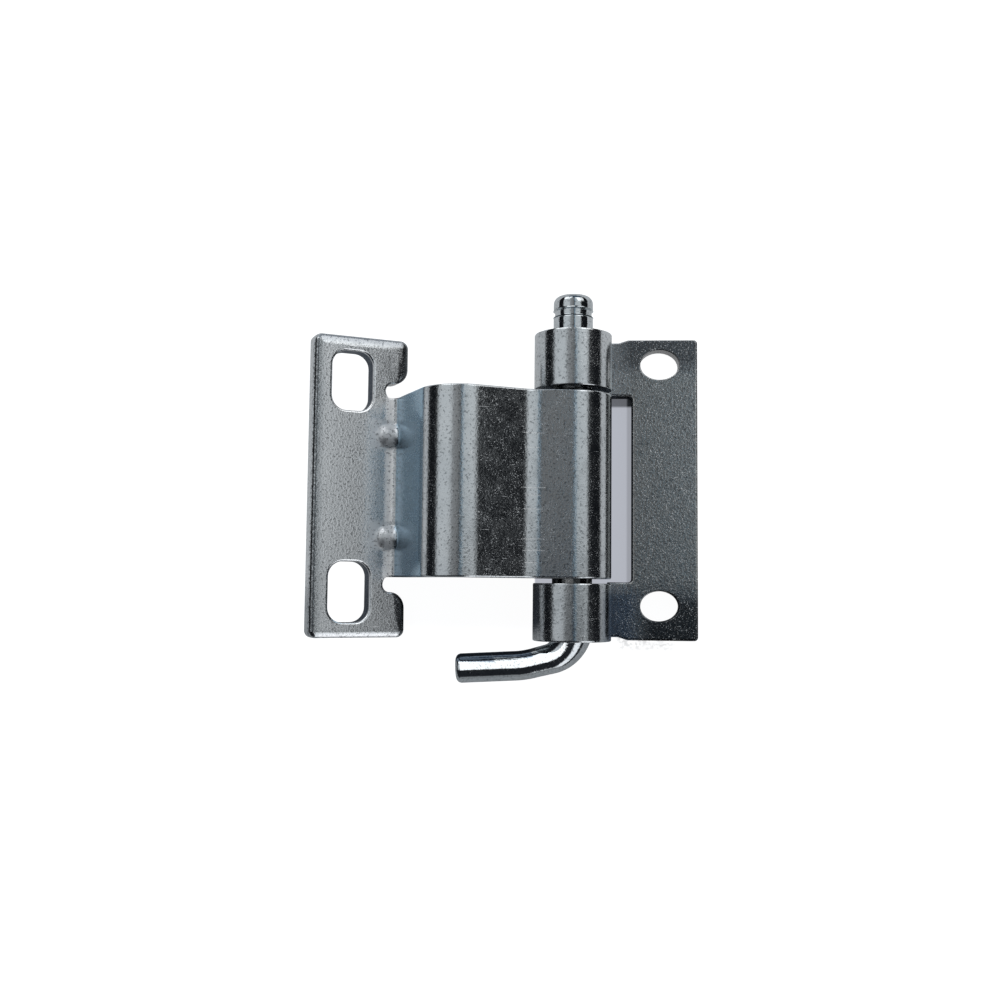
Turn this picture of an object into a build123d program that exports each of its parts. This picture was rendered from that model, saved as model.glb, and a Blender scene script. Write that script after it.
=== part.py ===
from build123d import *
import math
import os

os.makedirs("parts", exist_ok=True)

# Driving sizes, in millimetres and degrees.
# Frame: X runs from the flange towards the knuckles, +Y is the way the flange's mounting
# face looks, Z runs up along the pin. The origin is the middle of the flange's slots on
# the mounting face.
sheet = 3.0
leaf_height = 50.0
edge_break = 0.25
rest_angle = 28.0

# Knuckles and pin bore.
pin_d = 6.5
bore_d = 6.7
seam_gap = 0.3
middle_half = 15.0
knuckle_gap = 0.75
outer_from = middle_half + knuckle_gap
bore_r = bore_d / 2
knuckle_r = bore_r + sheet
roll_mid = bore_r + sheet / 2

# Cranked leaf, read in its side view: u to the right, v to the front, from the pin axis.
flange_edge = -39.0
flange_front = -16.6
wall_front = -25.0
tab_past = 2.3
arm_front = 2.7
foot_r = 1.5
crown_r = 7.0
neck_r = 6.0
neck_rise = 27.0
notch_w = 2.5
notch_past = 0.1
tab_corner = 1.3
tab_shoulder = 2.6
flange_round = 0.7
tab_end = wall_front + tab_past
notch_end = wall_front - foot_r - notch_past

# Slots in the flange.
slot_u = -32.4
slot_inset = 7.5
slot_spacing = leaf_height - 2 * slot_inset
slot_w = 7.0
slot_len = 10.0
slot_break = 0.2

# Stiffening darts in the corner between flange and wall.
dart_pitch = 17.0
dart_r = 2.7
dart_half = 5.0
dart_clip = 3.6
dart_drop = 1.8
dent_r = 1.3
dent_half = 3.0

# Flat leaf.
plate_end = 20.7
plate_corner = 0.6
window_end = 9.9
window_gap = 0.5
window_half = middle_half + window_gap
window_corner = 0.6
hole_u = 14.6
hole_inset = 5.0
hole_spacing = leaf_height - 2 * hole_inset
hole_lift = 0.4
hole_w = 5.0
hole_len = 7.0
relief_depth = 0.5
relief_from = 5.9
relief_to = 7.6
relief_run = 1.6

# Hinge pin.
pin_top = 31.5
pin_crown = 1.2
groove_top = 2.6
groove_w = 0.9
groove_d = 5.5
bend_start = -25.1
bend_inner = 0.95
bend_angle = 86.8
thin_by = 60.0
leg_d = 5.3
leg_end = -18.7
leg_round = 0.9
bend_steps = 4

# The pin axis stands where the slot middle on the mounting face is the origin.
axis_x = -slot_u
axis_y = flange_front - sheet
axis_at = (axis_x, axis_y, 0)
lie = math.radians(rest_angle)
lying_x = (math.cos(lie), -math.sin(lie), 0)
lying_front = (-math.sin(lie), -math.cos(lie), 0)

# Side views look down the pin axis, front views look at the face of a leaf.
crank_side = Plane(origin=axis_at, x_dir=(1, 0, 0), z_dir=(0, 0, -1))
crank_face = Plane(origin=axis_at, x_dir=(1, 0, 0), z_dir=(0, -1, 0))
plate_side = Plane(origin=axis_at, x_dir=lying_x, z_dir=(0, 0, -1))
plate_face = Plane(origin=axis_at, x_dir=lying_x, z_dir=lying_front)


def on_circle(radius, angle):
    """Point of a circle about the pin axis in a side view."""
    turn = math.radians(angle)
    return (radius * math.cos(turn), radius * math.sin(turn))


def seam_turn():
    """Angle from the tangent point back to where the rolled end stops."""
    return math.degrees(math.acos((bore_r - seam_gap) / knuckle_r))


def crank_strip():
    """Sheet of wall, crown, arm and rolled knuckle, seen from the side."""
    flange_mid = flange_front - sheet / 2
    wall_mid = wall_front + sheet / 2
    arm_mid = arm_front - sheet / 2
    foot = foot_r + sheet / 2
    crown = crown_r - sheet / 2
    neck = neck_r + sheet / 2
    rise = math.radians(neck_rise)
    tangent = on_circle(roll_mid, 90 + neck_rise)
    corner_u = tangent[0] - (tangent[1] - arm_mid) / math.tan(rise)
    neck_run = neck * math.tan(rise / 2)
    neck_in = (corner_u - neck_run, arm_mid)
    neck_out = (corner_u + neck_run * math.cos(rise), arm_mid + neck_run * math.sin(rise))
    foot_in = (wall_mid - foot, flange_mid)
    foot_out = (wall_mid, flange_mid + foot)
    crown_in = (wall_mid, arm_mid - crown)
    crown_out = (wall_mid + crown, arm_mid)
    start = 90 + neck_rise
    roll = 360 - seam_turn()
    path = [
        RadiusArc(foot_in, foot_out, -foot),
        Line(foot_out, crown_in),
        RadiusArc(crown_in, crown_out, crown),
        Line(crown_out, neck_in),
        RadiusArc(neck_in, neck_out, -neck),
        Line(neck_out, tangent),
        CenterArc((0, 0), roll_mid, start, -roll),
    ]
    return trace(Wire(path), sheet)


def flange_outline():
    """Flange seen from the front, with its tabs and relief notches."""
    middle = (flange_edge + tab_end) / 2
    shape = Pos(middle, 0) * Rectangle(tab_end - flange_edge, leaf_height)
    foot_u = wall_front - foot_r
    notch_at = middle_half + notch_w / 2
    notch_u = notch_end + notch_w / 2
    reach = tab_end - foot_u + 1
    run = tab_end + 1 - notch_u
    shape -= Pos(foot_u + reach / 2, 0) * Rectangle(reach, 2 * middle_half)
    for side in (-1, 1):
        shape -= Pos(notch_u, side * notch_at) * Circle(notch_w / 2)
        shape -= Pos(notch_u + run / 2, side * notch_at) * Rectangle(run, notch_w)
    top = leaf_height / 2 - 0.1
    shape = fillet([v for v in at_u(shape, tab_end) if abs(v.Y) > top], tab_corner)
    inner = middle_half + notch_w + 0.1
    shape = fillet([v for v in at_u(shape, tab_end) if abs(v.Y) < inner], tab_shoulder)
    return fillet(at_u(shape, flange_edge), plate_corner)


def at_u(shape, u):
    """Corners of an outline that stand at one u."""
    return [v for v in shape.vertices() if abs(v.X - u) < 0.01]


def flange():
    """Flat flange with slots and the soft edges of a punched blank on its front."""
    plate = extrude(crank_face.offset(flange_front) * flange_outline(), amount=-sheet)
    clear = middle_half + notch_w / 2
    front_y = axis_y - flange_front
    rim = [e for e in plate.edges() if on_front(e, front_y) and soft(e, clear)]
    plate = fillet(rim, flange_round)
    slots = Sketch()
    for side in (-1, 1):
        slots += Pos(slot_u, side * slot_spacing / 2) * SlotOverall(slot_len, slot_w, rotation=90)
    plate -= extrude(crank_face.offset(flange_front) * slots, amount=-sheet)
    rims = [e for e in plate.edges() if on_front(e, front_y) and in_slot(e)]
    return chamfer(rims, slot_break)


def on_front(edge, front_y):
    """Whether an edge lies in the front face of the flange."""
    box = edge.bounding_box()
    return abs(box.min.Y - front_y) < 0.01 and abs(box.max.Y - front_y) < 0.01


def soft(edge, clear):
    """Whether an edge belongs to the outline away from the bend and the notches."""
    box = edge.bounding_box()
    middle = edge.center()
    return box.max.X < axis_x + flange_edge + 1 or abs(middle.Z) > clear


def in_slot(edge):
    """Whether an edge belongs to one of the slots."""
    box = edge.bounding_box()
    reach = slot_w / 2 + 0.1
    inside = box.min.X > -reach and box.max.X < reach
    return inside and abs(abs(edge.center().Z) - slot_spacing / 2) < slot_len


def corner_rib(bow, radius, clip, out, z):
    """Front half of a bulge turned from a bow, across the foot of the wall, cut square below."""
    lay = Plane(origin=corner_point(out, z), x_dir=(0, 0, 1), z_dir=(1, -1, 0))
    chord = Line(bow[-1] @ 1, bow[0] @ 0)
    bulge = revolve(Plane.XZ * make_face([*bow, chord]), Axis.Z)
    # Local x runs up the pin and local y towards the front.
    size = 4 * radius
    drop = dart_drop * radius / dart_r
    keep = Pos(size / 2 - drop, size / 2, 0) * Box(size, size, 2 * clip)
    return lay * (bulge & keep)


def corner_point(out, z):
    """Point on the diagonal of the corner, counted from the corner towards the back."""
    step = out / math.sqrt(2)
    return (axis_x + wall_front + step, axis_y - flange_front + step, z)


def cranked_leaf():
    """Flange, wall, crown, arm and the middle knuckle in one piece of sheet."""
    strip = extrude(crank_side * crank_strip(), amount=middle_half, both=True)
    rims = [e for e in strip.edges() if long_rim(e)]
    strip = chamfer(rims, edge_break)
    leaf = flange() + strip
    back = foot_r + sheet - foot_r * math.sqrt(2)
    dart_bow = [ThreePointArc((0, -dart_half), (dart_r, 0), (0, dart_half))]
    dent_tip = (dent_r, 0)
    dent_bow = [Line((0, -dent_half), dent_tip), Line(dent_tip, (0, dent_half))]
    for side in (-1, 1):
        z = side * dart_pitch / 2
        leaf += corner_rib(dart_bow, dart_r, dart_clip, 0, z)
        leaf -= corner_rib(dent_bow, dent_r, dent_half, back, z)
    return leaf


def long_rim(edge):
    """Whether an edge follows the bent sheet along one of its two sides."""
    box = edge.bounding_box()
    flat = abs(abs(box.min.Z) - middle_half) < 0.01 and abs(box.max.Z - box.min.Z) < 0.01
    return flat and abs(edge.length - sheet) > 0.05


def rolled():
    """Section of an outer knuckle, rolled from the plate's end up and over the pin."""
    roll = 360 - seam_turn()
    return trace(CenterArc((0, 0), roll_mid, -90, -roll), sheet)


def plate_outline():
    """Flat leaf seen from the front, with window, screw holes and edge reliefs."""
    shape = Pos(plate_end / 2, 0) * Rectangle(plate_end, leaf_height)
    shape -= Pos(window_end / 2, 0) * Rectangle(window_end, 2 * window_half)
    shape -= Pos(relief_from / 2, 0) * Rectangle(relief_from, 2 * outer_from)
    shape = fillet(at_u(shape, plate_end), plate_corner)
    window = [v for v in at_u(shape, window_end) if abs(v.Y) < window_half + 0.1]
    shape = fillet(window, window_corner)
    for side in (-1, 1):
        edge = side * leaf_height / 2
        inner = edge - side * relief_depth
        outer = edge + side
        corners = [
            (relief_from, outer),
            (relief_from, inner),
            (relief_to, inner),
            (relief_to + relief_run, edge),
            (relief_to + relief_run, outer),
        ]
        shape -= make_face(Polyline(*corners, close=True))
        spot = Pos(hole_u, side * hole_spacing / 2 + hole_lift)
        shape -= spot * SlotOverall(hole_len, hole_w)
    return shape


def flat_leaf():
    """Plate with the two outer knuckles."""
    front = -bore_r
    leaf = extrude(plate_face.offset(front) * plate_outline(), amount=-sheet)
    width = leaf_height / 2 - outer_from
    rims = [e for e in leaf.edges() if plate_rim(e, front)]
    leaf = chamfer(rims, edge_break)
    for side in (-1, 1):
        middle = side * (outer_from + leaf_height / 2) / 2
        ring = extrude(plate_side.offset(-middle) * rolled(), amount=width / 2, both=True)
        ends = [e for e in ring.edges() if knuckle_rim(e)]
        leaf += chamfer(ends, edge_break)
    return leaf


def plate_rim(edge, front):
    """Whether an edge bounds the plate's front face away from the knuckles."""
    local = plate_face.to_local_coords(edge)
    box = local.bounding_box()
    in_face = abs(box.min.Z - front) < 0.01 and abs(box.max.Z - front) < 0.01
    return in_face and box.min.X > relief_from + 0.1


def knuckle_rim(edge):
    """Whether an edge is the outer round rim at an end of an outer knuckle."""
    at = [edge.position_at(t) for t in (0.02, 0.5, 0.98)]
    radii = [math.hypot(p.X - axis_x, p.Y - axis_y) for p in at]
    level = abs(at[0].Z - at[2].Z) < 0.01
    return level and all(abs(r - knuckle_r) < 0.01 for r in radii)


def pin_shaft():
    """Straight part of the pin with its crowned top and snap groove."""
    length = pin_top - bend_start
    shaft = Pos(*axis_at) * (Pos(0, 0, bend_start + length / 2) * Cylinder(pin_d / 2, length))
    top = shaft.edges().filter_by(GeomType.CIRCLE).sort_by(Axis.Z)[-1]
    shaft = fillet(top, pin_crown)
    ring = Cylinder(pin_d, groove_w) - Cylinder(groove_d / 2, groove_w)
    at_z = pin_top - groove_top - groove_w / 2
    return shaft - Pos(axis_x, axis_y, at_z) * ring


def bend_section(angle):
    """Round section of the bend; the rod thins while its inner side keeps one radius."""
    left = max(0.0, 1 - angle / thin_by)
    across = leg_d + (pin_d - leg_d) * left**2
    turn = math.radians(angle)
    reach = bend_inner + across / 2
    u = reach * math.cos(turn) - bend_inner - pin_d / 2
    z = bend_start - reach * math.sin(turn)
    spot = Vector(*axis_at) + Vector(*lying_x) * u + Vector(0, 0, z)
    ahead = Vector(*lying_x) * -math.sin(turn) + Vector(0, 0, -math.cos(turn))
    return Plane(origin=spot, x_dir=lying_front, z_dir=ahead) * Circle(across / 2)


def hinge_pin():
    """Pin with a short leg bent over below the knuckles as a handle."""
    angles = [bend_angle * i / bend_steps for i in range(bend_steps + 1)]
    sections = [bend_section(a) for a in angles]
    pin = pin_shaft() + loft(sections)
    reach = bend_inner + leg_d / 2
    at_u_end = -(bend_inner + pin_d / 2) + reach * math.cos(math.radians(bend_angle))
    leg = extrude(sections[-1], amount=(at_u_end - leg_end) / math.sin(math.radians(bend_angle)))
    far = leg.faces().sort_by(Axis(axis_at, lying_x))[0]
    leg = fillet(far.edges(), leg_round)
    return pin + leg


if __name__ == "__main__":
    pieces = {
        "swan_neck_leaf": cranked_leaf(),
        "flat_leaf": flat_leaf(),
        "hinge_pin": hinge_pin(),
    }
    for name, piece in pieces.items():
        export_step(piece, f"parts/{name}.step")
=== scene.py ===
"""Concealed cabinet hinge of bent zinc-plated sheet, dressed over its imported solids."""
import logging
import math
from dataclasses import dataclass, field
from enum import Enum
from typing import Callable, Iterable, Sequence, Union

import bmesh
import bpy
from mathutils import Matrix, Vector


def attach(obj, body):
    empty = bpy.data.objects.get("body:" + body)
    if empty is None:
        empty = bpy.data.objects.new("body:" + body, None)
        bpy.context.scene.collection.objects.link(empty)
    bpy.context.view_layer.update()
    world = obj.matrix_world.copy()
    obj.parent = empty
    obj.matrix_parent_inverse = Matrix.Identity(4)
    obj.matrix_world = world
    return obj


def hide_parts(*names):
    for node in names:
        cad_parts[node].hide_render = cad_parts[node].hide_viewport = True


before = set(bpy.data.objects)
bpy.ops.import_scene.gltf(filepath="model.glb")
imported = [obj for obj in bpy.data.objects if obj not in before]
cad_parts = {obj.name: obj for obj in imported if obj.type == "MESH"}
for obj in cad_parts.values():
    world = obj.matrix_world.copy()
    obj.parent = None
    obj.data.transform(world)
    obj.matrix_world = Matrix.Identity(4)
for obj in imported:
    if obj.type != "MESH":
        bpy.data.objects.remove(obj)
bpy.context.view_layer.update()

log = logging.getLogger("hinge")
MM = 0.001
DEGREE = math.pi / 180
BEND_TURN = 4.5 * DEGREE
FLAT_STRIP = 0.25
FAR = 99.0
SLACK = 1e-4
CLOSE = 1e-5


class Way(Enum):
    """Side of the sheet that a bend closes towards."""

    FRONT = -1
    BACK = 1


class Face(Enum):
    """Side of the blank that a pressed mark works on."""

    OUTER = 1.0
    INNER = 0.0


# Writing node trees


class Wire:
    """An output socket, so that node maths reads as an expression."""

    def __init__(self, board: "Board", socket: bpy.types.NodeSocket) -> None:
        """Keeps the board and the socket."""
        self.board = board
        self.socket = socket

    def __add__(self, other: "Term") -> "Wire":
        """Sum of two values."""
        return self.board.maths("ADD", self, other)

    def __radd__(self, other: "Term") -> "Wire":
        """Sum of two values."""
        return self.board.maths("ADD", other, self)

    def __sub__(self, other: "Term") -> "Wire":
        """Difference of two values."""
        return self.board.maths("SUBTRACT", self, other)

    def __rsub__(self, other: "Term") -> "Wire":
        """Difference of two values."""
        return self.board.maths("SUBTRACT", other, self)

    def __mul__(self, other: "Term") -> "Wire":
        """Product of two values."""
        return self.board.maths("MULTIPLY", self, other)

    def __truediv__(self, other: "Term") -> "Wire":
        """Quotient of two values."""
        return self.board.maths("DIVIDE", self, other)

    def __neg__(self) -> "Wire":
        """The value with its sign turned."""
        return self.board.maths("MULTIPLY", self, -1.0)


Term = Union[Wire, float, int]


class Board:
    """A node tree that is written with expressions."""

    def __init__(self, tree: bpy.types.NodeTree) -> None:
        """Keeps the tree."""
        self.tree = tree

    @classmethod
    def of(cls, owner: Union[bpy.types.Material, bpy.types.World]) -> "Board":
        """Empty board of a material or of the surroundings.

        Args:
            owner: the material or the surroundings.

        Returns:
            The board of its cleared tree.
        """
        owner.use_nodes = True
        owner.node_tree.nodes.clear()
        return cls(owner.node_tree)

    def feed(self, socket: bpy.types.NodeSocket, value: object) -> None:
        """Links a wire to an input, or sets the input's own value.

        Args:
            socket: the input.
            value: a wire, a number, a colour, a vector or a name.
        """
        if isinstance(value, Wire):
            self.tree.links.new(value.socket, socket)
        else:
            socket.default_value = value

    def node(self, kind: str, settings: dict, sockets: dict, out: Union[str, int] = 0) -> Wire:
        """Adds a node of any kind.

        Args:
            kind: the node's type name.
            settings: its own properties, set first; a ramp's stops go under "stops".
            sockets: values or wires by input name or number.
            out: name or number of the output that is used.

        Returns:
            The wire from that output.
        """
        made = self.tree.nodes.new(kind)
        for name, value in settings.items():
            if name == "stops":
                self.set_stops(made.color_ramp, value)
            else:
                setattr(made, name, value)
        for name, value in sockets.items():
            self.feed(made.inputs[name], value)
        return Wire(self, made.outputs[out])

    def split(self, vector: Wire) -> list[Wire]:
        """The three coordinates of a vector."""
        return [self.node("ShaderNodeSeparateXYZ", {}, {0: vector}, out=i) for i in range(3)]

    def close(self, kind: str, socket: Union[str, int], result: Wire) -> None:
        """Ends the tree with an output node of a kind."""
        ending = self.tree.nodes.new(kind)
        self.feed(ending.inputs[socket], result)

    @staticmethod
    def set_stops(ramp: bpy.types.ColorRamp, stops: Sequence[tuple]) -> None:
        """Gives a ramp its stops.

        Args:
            ramp: the ramp, with its first two stops.
            stops: place and colour of each stop, in order.
        """
        while len(ramp.elements) < len(stops):
            ramp.elements.new(0.5)
        for element, (place, colour) in zip(ramp.elements, stops):
            element.position = place
            element.color = (*colour, 1.0)

    def maths(self, operation: str, *values: Term) -> Wire:
        """Adds a Math node.

        Args:
            operation: what it does.
            values: its inputs in order.

        Returns:
            Its result.
        """
        return self.node("ShaderNodeMath", {"operation": operation}, dict(enumerate(values)))

    def blend(self, factor: Term, first: object, second: object) -> Wire:
        """Mixes two colours.

        Args:
            factor: share of the second colour.
            first: colour or wire.
            second: colour or wire.

        Returns:
            The mixed colour.
        """
        given = [part if isinstance(part, Wire) else (*part, 1.0) for part in (first, second)]
        return self.node("ShaderNodeMix", {"data_type": "RGBA"}, {0: factor, 6: given[0], 7: given[1]}, out=2)

    def step(self, value: Term, low: float, high: float) -> Wire:
        """Rises smoothly from 0 at low to 1 at high.

        Args:
            value: what is measured.
            low: where the rise starts.
            high: where it ends.

        Returns:
            A value from 0 to 1.
        """
        sockets = {"Value": value, "From Min": low, "From Max": high}
        return self.node("ShaderNodeMapRange", {"interpolation_type": "SMOOTHSTEP"}, sockets)

    def within(
        self, values: Sequence[Wire], low: Sequence, high: Sequence, soft: float, share: float = 1.0
    ) -> Wire:
        """Mask of a box with soft sides.

        Args:
            values: the coordinates.
            low: where each one starts.
            high: where each one ends.
            soft: half width of the soft sides.
            share: value inside the box.

        Returns:
            The share inside and 0 outside.
        """
        total: Term = share
        for value, start, end in zip(values, low, high):
            total = self.step(value, start - soft, start + soft) * total
            total = self.step(value, end + soft, end - soft) * total
        return total


def add(name: str, data: bpy.types.ID) -> bpy.types.Object:
    """Adds an object to the scene.

    Args:
        name: its name.
        data: its mesh, lamp or lens.

    Returns:
        The object.
    """
    made = bpy.data.objects.new(name, data)
    bpy.context.scene.collection.objects.link(made)
    return made


# Punched blanks


@dataclass(frozen=True)
class Corner:
    """A corner of a punched outline and the radius it is rounded with, in millimetres."""

    x: float
    z: float
    radius: float


@dataclass(frozen=True)
class Station:
    """A point of a rounded outline, with the way out of the sheet there."""

    at: Vector
    out: Vector
    apex: Vector
    mitre: Vector
    room: float

    def inset(self, depth: float) -> Vector:
        """The point moved into the sheet, kept at the mitre once its round corner is used up.

        Args:
            depth: how far it is moved.

        Returns:
            The moved point.
        """
        if depth > self.room:
            return self.apex - self.mitre * depth
        return self.at - self.out * depth


@dataclass(frozen=True)
class Rim:
    """Rounding of an edge: how far it reaches over the face and how deep it drops."""

    reach: float
    drop: float

    def towards(self, other: "Rim", share: float) -> "Rim":
        """Rounding between this one and another.

        Args:
            other: the other rounding.
            share: how far towards it, from 0 to 1.

        Returns:
            The rounding in between, eased at both ends.
        """
        part = min(1.0, max(0.0, share))
        part = part * part * (3 - 2 * part)
        return Rim(
            self.reach + (other.reach - self.reach) * part,
            self.drop + (other.drop - self.drop) * part,
        )


def unit(x: float, z: float) -> Vector:
    """Direction of length one."""
    return Vector((x, z)).normalized()


def walk(corners: Sequence[Corner], turn: float = 9 * DEGREE) -> list[Station]:
    """Rounds the corners of a closed outline that keeps the sheet on its left.

    Args:
        corners: the outline's corners in order.
        turn: largest step of a round corner.

    Returns:
        The outline's points.
    """
    stations: list[Station] = []
    for index, corner in enumerate(corners):
        before = corners[index - 1]
        after = corners[(index + 1) % len(corners)]
        apex = Vector((corner.x, corner.z))
        coming = unit(corner.x - before.x, corner.z - before.z)
        going = unit(after.x - corner.x, after.z - corner.z)
        cross = coming.x * going.y - coming.y * going.x
        bend = math.atan2(cross, coming.dot(going))
        side = 1.0 if bend > 0 else -1.0
        first = Vector((coming.y, -coming.x))
        last = Vector((going.y, -going.x))
        run = corner.radius * math.tan(abs(bend) / 2)
        centre = apex - coming * run - first * corner.radius * side
        mitre = (first + last) / (1 + first.dot(last))
        room = corner.radius if side > 0 else math.inf
        steps = max(2, math.ceil(abs(bend) / turn))
        for count in range(steps + 1):
            angle = bend * count / steps
            cos, sin = math.cos(angle), math.sin(angle)
            out = Vector((first.x * cos - first.y * sin, first.x * sin + first.y * cos))
            at = centre + out * corner.radius * side
            if stations and (stations[-1].at - at).length < CLOSE:
                continue
            stations.append(Station(at, out, apex, mitre, room))
    if (stations[0].at - stations[-1].at).length < CLOSE:
        stations.pop()
    return stations


def slot_outline(x: float, z: float, width: float, height: float, radius: float) -> list[Corner]:
    """Outline of a slot with rounded corners, which keeps the sheet on its left.

    Args:
        x: middle along the sheet.
        z: middle up the sheet.
        width: size along the sheet.
        height: size up the sheet.
        radius: rounding of the corners.

    Returns:
        Its four corners.
    """
    half_x, half_z = width / 2, height / 2
    signs = ((-1, -1), (-1, 1), (1, 1), (1, -1))
    return [Corner(x + i * half_x, z + j * half_z, radius) for i, j in signs]


def oval(x: float, z: float, width: float, height: float, steps: int = 72) -> list[Station]:
    """Outline of an oval hole, which keeps the sheet on its left.

    Args:
        x: middle along the sheet.
        z: middle up the sheet.
        width: size along the sheet.
        height: size up the sheet.
        steps: count of points.

    Returns:
        The outline's points.
    """
    stations = []
    for index in range(steps):
        angle = -2 * math.pi * index / steps
        cos, sin = math.cos(angle), math.sin(angle)
        at = Vector((x + cos * width / 2, z + sin * height / 2))
        out = -unit(cos * height, sin * width)
        stations.append(Station(at, out, at, out, math.inf))
    return stations


@dataclass
class Blank:
    """A flat punched piece: x along the sheet, y to the back and z up, in millimetres."""

    sheet: float
    loops: list[list[Station]]
    rim: Callable[[Vector], Rim]
    back_round: float = 0.18
    front_steps: int = 6
    back_steps: int = 2
    guard: float = 0.12
    mesh: bmesh.types.BMesh = field(default_factory=bmesh.new)

    def rows(self, rim: Rim) -> list[tuple[float, float]]:
        """Section of an edge from the front face to the back face.

        Args:
            rim: rounding at the front.

        Returns:
            Pairs of depth into the sheet and place through it.
        """
        quarter = math.pi / 2
        # A narrow flat ring at each face keeps the shading of the large faces even.
        section = [(rim.reach + self.guard, -self.sheet / 2)]
        for count in range(self.front_steps + 1):
            angle = quarter * count / self.front_steps
            depth = rim.reach * (1 - math.sin(angle))
            section.append((depth, -self.sheet / 2 + rim.drop * (1 - math.cos(angle))))
        for count in range(self.back_steps + 1):
            angle = quarter * count / self.back_steps
            depth = self.back_round * (1 - math.cos(angle))
            section.append((depth, self.sheet / 2 - self.back_round * (1 - math.sin(angle))))
        section.append((self.back_round + self.guard, self.sheet / 2))
        return section

    def punch(self) -> None:
        """Builds the edges row by row, then closes the front and the back."""
        bm = self.mesh
        for loop in self.loops:
            columns = []
            for station in loop:
                column = []
                for depth, y in self.rows(self.rim(station.at)):
                    spot = station.inset(depth)
                    column.append(bm.verts.new((spot.x, y, spot.y)))
                columns.append(column)
            for here, there in zip(columns, columns[1:] + columns[:1]):
                for row in range(len(here) - 1):
                    bm.faces.new((here[row], there[row], there[row + 1], here[row + 1]))
        bmesh.ops.remove_doubles(bm, verts=bm.verts, dist=SLACK)
        for side in (-1, 1):
            rim = [e for e in bm.edges if e.is_boundary and e.verts[0].co.y * side > 0]
            bmesh.ops.triangle_fill(bm, edges=rim, use_beauty=True)
        bmesh.ops.recalc_face_normals(bm, faces=bm.faces)

    def cut(self, axis: int, places: Iterable[float], low: Sequence, high: Sequence) -> None:
        """Cuts the faces inside a region, so that they can follow a bend or a pressed mark.

        Args:
            axis: 0 to cut across x, 2 to cut across z.
            places: where to cut.
            low: lowest x and z of the region.
            high: highest x and z of the region.
        """
        normal = Vector((0, 0, 0))
        normal[axis] = 1.0
        for place in places:
            geometry: set = set()
            for face in self.mesh.faces:
                spots = [v.co for v in face.verts]
                if min(p.x for p in spots) < low[0] - SLACK or max(p.x for p in spots) > high[0] + SLACK:
                    continue
                if min(p.z for p in spots) < low[1] - SLACK or max(p.z for p in spots) > high[1] + SLACK:
                    continue
                reach = [p[axis] for p in spots]
                if min(reach) < place < max(reach):
                    geometry.add(face)
                    geometry.update(face.edges)
                    geometry.update(face.verts)
            bmesh.ops.bisect_plane(
                self.mesh, geom=list(geometry), dist=CLOSE, plane_co=normal * place, plane_no=normal
            )

    def finish(self, name: str, still: Callable[[Vector], float]) -> bpy.types.Object:
        """Turns the blank into an object with the attributes that the folds read.

        Args:
            name: the object's name.
            still: gives the reach of a point, which says how far along the bends it lies.

        Returns:
            The flat object.
        """
        mesh = bpy.data.meshes.new(name)
        self.mesh.to_mesh(mesh)
        self.mesh.free()
        reach = mesh.attributes.new("reach", "FLOAT", "POINT")
        outer = mesh.attributes.new("outer", "FLOAT", "POINT")
        for vertex in mesh.vertices:
            reach.data[vertex.index].value = still(vertex.co)
            outer.data[vertex.index].value = 1.0 if vertex.co.y < 0 else 0.0
        return add(name, mesh)


def spread(start: float, end: float, count: int) -> list[float]:
    """Evenly spaced places from start to end."""
    return [start + (end - start) * i / count for i in range(count + 1)]


# Folding


@dataclass(frozen=True)
class Bend:
    """One bend of a sheet or rod, in millimetres and radians.

    The radius is that of the line that keeps its length, which lies at height line.
    """

    name: str
    start: float
    radius: float
    angle: float
    way: Way
    along: int = 1
    line: float = 0.0

    @property
    def length(self) -> float:
        """Length of the bent line, with its sign along the sheet."""
        return self.along * self.radius * self.angle

    @property
    def end(self) -> float:
        """Where the bend stops along the sheet."""
        return self.start + self.length

    def cuts(self, turn: float = BEND_TURN, guard: float = FLAT_STRIP) -> list[float]:
        """Places to cut the blank so that the bend looks round, with a flat strip on either side."""
        inner = spread(self.start, self.end, max(4, math.ceil(self.angle / turn)))
        return [self.start - guard * self.along, *inner, self.end + guard * self.along]


@dataclass(frozen=True)
class Dart:
    """A pointed bulge pressed across the corner of a bend, in millimetres."""

    name: str
    corner: tuple[float, float]
    height: float
    radius: float
    half: float
    out: float
    drop: float
    face: Face
    soft: float


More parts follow.
